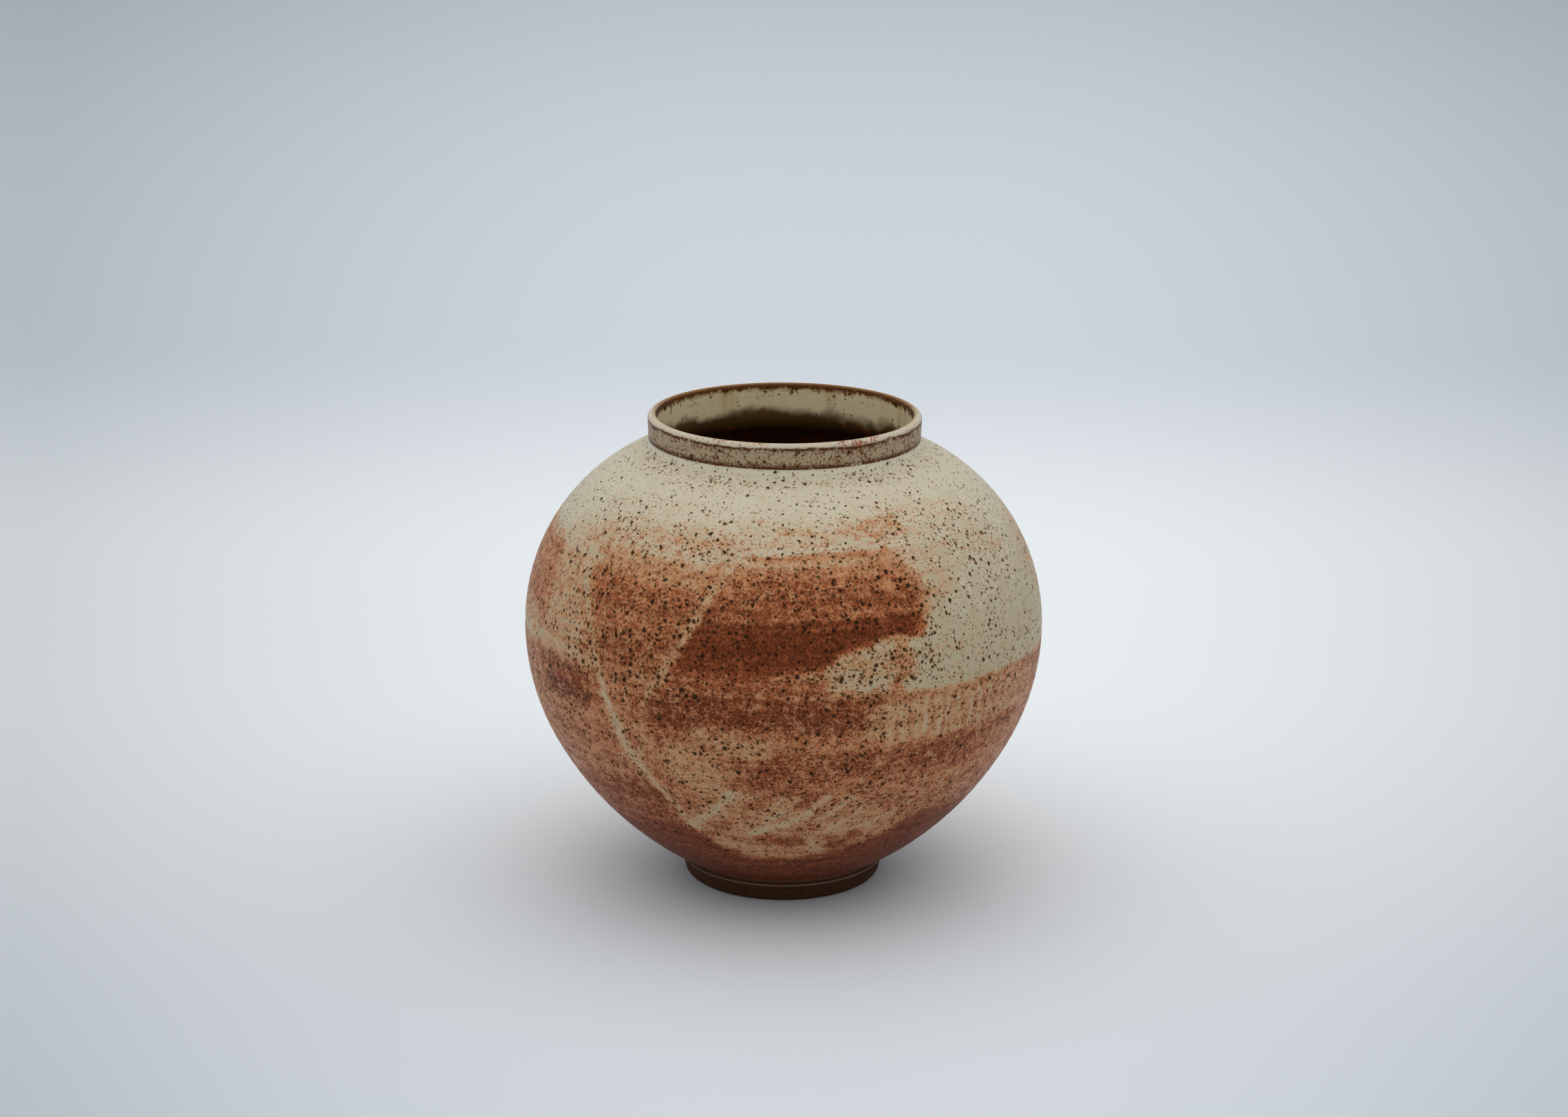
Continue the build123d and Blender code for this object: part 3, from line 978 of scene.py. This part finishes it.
print("thick wash on", round(100 * float((layers["wash"] > 0.8).mean())), "% of the points")

# %% Brown: where the brush left the wash thick
for path, half_width, level, edge in (
    # The block in front
    ([(-15, 134), (28, 135)], 9.0, 0.24, 9),
    ([(-19, 125), (29, 125)], 3.4, 0.55, 4),
    ([(-20, 129), (31, 128.6)], 0.9, 0.75, 2),
    ([(20, 125), (28, 124.6)], 3.0, 0.72, 4),
    ([(-20, 117.5), (-4, 118.5)], 7.5, 0.72, 6),
    ([(-4, 119.5), (8, 121)], 6.0, 0.80, 5),
    ([(8, 122), (18, 124)], 3.6, 0.75, 3),
    # The patch left of it, and the edge under both
    ([(-43, 135.5), (-26, 134.5)], 1.6, 0.50, 3),
    ([(-45, 129), (-28, 129.5)], 1.0, 0.40, 2.5),
    ([(-40, 121.5), (-25, 121)], 1.2, 0.42, 2.5),
    ([(-43, 112), (-25, 111)], 2.0, 0.35, 4),
    ([(-24, 107), (6, 106.5)], 3.0, 0.18, 5),
    ([(-44, 116), (-28, 116)], 6.0, 0.42, 8),
    ([(-45, 127), (-26, 127)], 7.0, 0.20, 8),
    # The belly and the bands under it
    ([(-64, 103), (-46, 102)], 2.4, 0.60, 4),
    ([(-61, 92), (-48, 93)], 4.5, 0.78, 8),
    ([(-26, 96), (20, 95)], 7.0, 0.60, 10),
    ([(20, 95), (60, 95)], 3.0, 0.20, 5),
    ([(-4, 78.5), (60, 79)], 1.6, 0.40, 3),
    ([(-8, 70), (2, 74)], 4.0, 0.40, 5),
    ([(2, 74), (46, 75)], 5.0, 0.36, 6),
    ([(-60, 46), (-36, 52)], 12.0, 0.35, 10),
    # Behind
    ([(103, 119), (147, 121)], 4.5, 0.72, 5),
    ([(108, 114), (128, 115)], 3.5, 0.76, 5),
    ([(98, 126), (156, 126)], 1.4, 0.60, 3),
    ([(-169, 120), (-147, 122)], 4.0, 0.65, 5),
    ([(90, 94), (150, 95)], 5.0, 0.50, 7),
    ([(-150, 84), (-100, 86)], 6.0, 0.45, 7),
):
    stroke("tone", path, half_width, level, edge)
print("brown on", round(100 * float((layers["tone"] > 0.4).mean())), "% of the points")

# %% Wiped lines and patches, where the pale glaze comes free
long_pull = [(-55, 146), (-53, 140), (-50, 131), (-46, 118), (-43, 107), (-40.5, 95)]
long_pull_end = [(-40.5, 95), (-38, 85), (-36.5, 77), (-33.5, 69), (-31, 62), (-28.5, 55), (-26, 48),
                 (-23, 43)]
cross_pull = [(-13, 147), (-17, 137), (-20, 128), (-23, 118), (-26, 109), (-29, 101)]
for path, half_width, level, edge, load in (
    # Patches that are wiped thin
    ([(-58, 142), (-56, 114)], 4.5, 0.30, 8, 0.7),
    ([(-23, 74), (-12, 66)], 9.0, 0.36, 8, 0.75),
    ([(-18, 86), (-5, 82)], 4.5, 0.34, 5, 0.75),
    ([(-20, 48), (-12, 60)], 4.5, 0.38, 6, 0.6),
    ([(-8, 46), (3, 50)], 6.5, 0.32, 6, 0.7),
    ([(12, 48), (20, 51)], 6.0, 0.38, 8, 0.65),
    ([(-17, 37), (-9, 33)], 4.0, 0.32, 5, 0.75),
    ([(-10, 37), (9, 36)], 3.5, 0.45, 6, 0.5),
    ([(-6, 30.5), (4, 30.5)], 2.0, 0.36, 3, 0.6),
    ([(7, 41), (10, 34)], 3.2, 0.24, 4, 0.8),
    ([(14, 44), (25, 44)], 3.0, 0.34, 5, 0.6),
    ([(24, 37.5), (31, 42)], 2.4, 0.40, 4, 0.6),
    # Long pulls down from the shoulder
    (long_pull, 1.7, 0.12, 3.0, 0.68),
    (long_pull_end, 1.4, 0.0, 2.4, 0.75),
    ([(-38.5, 85), (-37, 78), (-34, 70)], 2.6, 0.05, 3, 0.7),
    (cross_pull, 1.6, 0.12, 3.2, 0.64),
    ([(-29, 101), (-31, 90), (-33, 74)], 1.1, 0.1, 2, 0.55),
    # Short scratches low down
    ([(-24, 44), (-20, 50), (-16, 55), (-13, 60), (-10.5, 65)], 1.5, -0.10, 2.2, 0.82),
    ([(-8, 43), (-3, 46.5), (2, 49), (6.5, 54)], 1.4, -0.10, 2.2, 0.82),
    ([(-4, 50), (0, 55), (3.5, 61)], 1.2, 0.0, 2, 0.65),
    ([(9, 50), (13, 55), (17, 60)], 1.1, 0.0, 2, 0.65),
    ([(10, 43), (15, 47.5), (20, 54)], 1.1, 0.02, 2, 0.6),
    ([(-2, 57), (1, 63), (3, 69)], 1.1, -0.05, 2, 0.7),
    ([(5, 52), (8, 57), (11, 62)], 1.1, -0.05, 2, 0.7),
    ([(17, 41), (24, 47), (30, 51)], 1.3, -0.05, 2, 0.7),
    # The sides and the back
    ([(-66, 108), (-44, 108)], 2.6, 0.25, 3, 0.6),
    ([(34, 112), (80, 110)], 8.5, 0.05, 3, 0.95),
    ([(130, 146), (136, 128), (143, 108), (150, 92)], 1.9, 0.14, 2, 0.75),
    ([(-130, 90), (-122, 70), (-112, 52)], 1.9, 0.14, 2, 0.75),
    ([(170, 75), (178, 62), (188, 50)], 1.8, 0.16, 2, 0.7),
    ([(100, 62), (112, 54)], 6.0, 0.36, 6, 0.7),
):
    stroke("wash", path, half_width, level, edge, load, ragged=0.4)
print("rust left on", round(100 * float((layers["wash"] > 0.5).mean())), "% of the points")

# %% Scratches under the belly
scratch_turns = (23, 26, 29, 31.5, 35, 37.5, 40.5, 44, 46.5, 50, 54, 57, 61)
scratch_lean = 0.5
for turn in scratch_turns:
    stroke("wash", [(turn, 99), (turn + scratch_lean, 84)], 0.7, 0.05, 1.8, 0.65, ragged=0.25)
print("rust left on", round(100 * float((layers["wash"] > 0.5).mean())), "% of the points")

# %% Rust laid again over the wipes
bristle_tone = 0.14
for path, half_width, level, darkness, edge in (
    ([(-4, 40.5), (3, 38.5)], 3.2, 0.86, 0.30, 4),
    ([(2, 44), (7, 47.5)], 1.8, 0.76, 0.20, 3),
    ([(15, 34.5), (21, 42)], 2.6, 0.95, 0.45, 4),
    ([(5, 58), (8, 65)], 2.8, 0.86, 0.25, 4),
    ([(-14, 43), (-10, 53)], 2.2, 0.66, 0.10, 4),
    ([(-10, 68), (4, 66)], 4.5, 0.82, 0.25, 6),
):
    stroke("wash", path, half_width, level, edge)
    stroke("tone", path, half_width, darkness, edge)
layers["tone"] += bristle_tone * bristle_wobble[:, 1] * soft(layers["wash"], 0.3, 0.7)
print("tone from", round(float(layers["tone"].min()), 2), "to", round(float(layers["tone"].max()), 2))

# %% [markdown]
# The last painted layer says how crowded the iron specks are. They are few on the shoulder, more further
# down and under rust, and they stop where the lip is rounded. Strokes add the crowds that a loaded brush
# has carried along.

# %% Pepper: where the iron specks crowd
shoulder_pepper = 0.38
body_pepper = 0.24
rust_pepper = 0.45
foot_share = 0.35
collar_pepper = 0.45
shoulder_top = 165
crease_mm = crease / MM
crest_mm = jar_height / MM
layers["pepper"] = shoulder_pepper + body_pepper * soft(shoulder_top - heights, 0, 25)
layers["pepper"] += rust_pepper * soft(layers["wash"], 0.15, 0.6)
for path, half_width, level, edge in (
    ([(-70, 171), (70, 171)], 3.5, 0.85, 4),
    ([(-50, 151), (-16, 152)], 6.0, 1.15, 10),
    ([(34, 156), (64, 144)], 10.0, 0.95, 12),
    ([(-47, 128), (-26, 128)], 12.0, 1.80, 10),
    ([(-16, 128), (28, 130)], 16.0, 1.65, 10),
    ([(34, 70), (75, 66)], 16.0, 0.72, 14),
    ([(-75, 68), (-46, 58)], 14.0, 0.72, 14),
    ([(6, 111), (32, 113)], 6.5, 2.60, 8),
    ([(-48, 108), (-20, 106)], 8.0, 1.90, 8),
    ([(-30, 76), (-6, 80)], 8.0, 1.20, 8),
    ([(-20, 60), (4, 54)], 7.0, 1.10, 8),
):
    stroke("pepper", path, half_width, level, edge)
layers["pepper"] *= 1 - foot_share * soft(heights, 60, 35)
layers["pepper"] += collar_pepper * soft(heights, crease_mm - 0.2, crease_mm + 0.4)
layers["pepper"] *= 1 - soft(heights, crest_mm - 2.8, crest_mm - 1.8)
print("pepper is", round(float(layers["pepper"].mean()), 2), "on average")

# %% Keep the painting on the coat
for name, values in layers.items():
    stored = outer_coat.data.attributes.new(name, "FLOAT", "POINT")
    stored.data.foreach_set("value", values.astype(np.float32))
print("kept on the coat:", list(layers))

# %% [markdown]
# ## Which piece stands for which
# The turned pieces replace the CAD coats and the foot, and ride on the jar's one body. The clay and the
# slip keep their CAD meshes and only take a finish.

# %% Fit the pieces to the frame
for piece, node, slot_name in (
    (outer_coat, "outer_glaze", "outer_glaze"),
    (liner_coat, "liner_glaze", "liner_glaze"),
    (foot, "foot_ring", "foot_clay"),
):
    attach(piece, "root")
    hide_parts(node)
    print(piece.name, "stands for", node)

for node, node_finish in (
    ("lower_bowl", clay_finish),
    ("upper_bowl", clay_finish),
    ("neck_collar", clay_finish),
    ("belly_seam", slip_finish),
    ("neck_seam", slip_finish),
    ("foot_seam", slip_finish),
):
    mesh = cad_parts[node].data
    mesh.materials.clear()
    mesh.materials.append(node_finish)
    print(node, "has", mesh.materials[0].name)

# %% [markdown]
# ## The studio
# A plain pale paper floor runs out behind the jar. Its colour holds a painted pool of light around the jar
# and painted shade that greys it far away and to the sides. A curved backdrop could end it, but one large
# disc is enough: the air past its edge takes the far paper's colour for the rays that look at it, so hardly
# a horizon shows. The light is one wide overhead sky of lamp light, soft enough that its shadow has no edge,
# and the world fills the rest.

# %% Floor
floor_reach = 9.0
floor_sides = 96
floor_turns = [math.tau * side / floor_sides for side in range(floor_sides)]
floor_ring = [(math.cos(turn) * floor_reach, math.sin(turn) * floor_reach, 0) for turn in floor_turns]
floor_mesh = bpy.data.meshes.new("studio_floor")
floor_mesh.from_pydata(floor_ring, [], [list(range(floor_sides))])
floor = bpy.data.objects.new("studio_floor", floor_mesh)
bpy.context.scene.collection.objects.link(floor)
print("floor", 2 * floor_reach, "m across")


# %% Paper of the floor, with a painted pool of light and painted shade
def looked_at(tree):
    """1 for rays that show a surface, straight, mirrored or through glass, and 0 for rays that light it."""
    rays = put(tree, "ShaderNodeLightPath").outputs
    mirrored = calc(tree, "MAXIMUM", rays["Is Glossy Ray"], rays["Is Transmission Ray"])
    return calc(tree, "MAXIMUM", rays["Is Camera Ray"], mirrored)


# Painted light: the first four paper colours make a pool of light around the jar that greys in front, behind
# and far away
painted_light_pool = srgb(251, 254, 255)
paper_front_falloff = srgb(220, 226, 232)
paper_behind_falloff = srgb(221, 226, 232)
paper_far_falloff = srgb(193, 201, 207)
paper_bounce = srgb(208, 213, 223)
paper_roughness = 0.9
painted_side_shade = (0.60, 0.62, 0.63, 1)
side_shade_share = 0.66
side_shift = 0.02
widening = 0.9
width_here = 1.28
least_width = 0.9

floor_finish, tree, shader, place = finish("pale_paper_floor", specular=0.2)
floor_x, floor_y = list(put(tree, "ShaderNodeSeparateXYZ", {0: place}).outputs)[:2]
# Painted pool of light around the jar, fading towards the front, the back and far off
paper_with_painted_light = lay(tree, rise(tree, floor_y, 0.25, -0.40), painted_light_pool, paper_front_falloff)
paper_with_painted_light = lay(tree, rise(tree, floor_y, 0.40, 1.00), paper_with_painted_light, paper_behind_falloff)
paper_with_painted_light = lay(tree, rise(tree, floor_y, 0.90, 4.00), paper_with_painted_light, paper_far_falloff)
# Painted shade: the paper darkens towards both sides, in a fan that widens with distance
width = calc(tree, "MAXIMUM", calc(tree, "MULTIPLY_ADD", floor_y, widening, width_here), least_width)
side_shade_mask = calc(tree, "ABSOLUTE", calc(tree, "SUBTRACT", calc(tree, "DIVIDE", floor_x, width), side_shift))
side_shade_mask = calc(tree, "MINIMUM", rise(tree, side_shade_mask, 0.03, 0.40), side_shade_share)
side_shade_mask = calc(tree, "MULTIPLY", side_shade_mask, rise(tree, floor_y, -1.2, -0.3))
dim = {0: side_shade_mask, 6: paper_with_painted_light, 7: painted_side_shade}
paper_with_painted_light = put(tree, "ShaderNodeMix", dim, data_type="RGBA", blend_type="MULTIPLY").outputs[2]
tree.links.new(lay(tree, looked_at(tree), paper_bounce, paper_with_painted_light), shader.inputs["Base Color"])
shader.inputs["Roughness"].default_value = paper_roughness
floor_mesh.materials.append(floor_finish)
print("paper nodes:", len(tree.nodes))

# %% Light
overhead_spread = math.radians(100)
overhead_strength = 1.30
fill_light = (0.432, 0.451, 0.469, 1.0)
far_air = srgb(196, 203, 209)

overhead = bpy.data.lights.new("overhead_light", "SUN")
overhead.angle = overhead_spread
overhead.energy = overhead_strength
bpy.context.scene.collection.objects.link(bpy.data.objects.new("overhead_light", overhead))
world = bpy.data.worlds.new("studio_air")
world.use_nodes = True
tree = world.node_tree
air = tree.nodes["Background"]
tree.links.new(lay(tree, looked_at(tree), fill_light, far_air), air.inputs["Color"])
bpy.context.scene.world = world
bpy.context.scene.view_settings.view_transform = "Standard"
print("overhead light of", overhead_strength, "and a fill of", fill_light[:3])
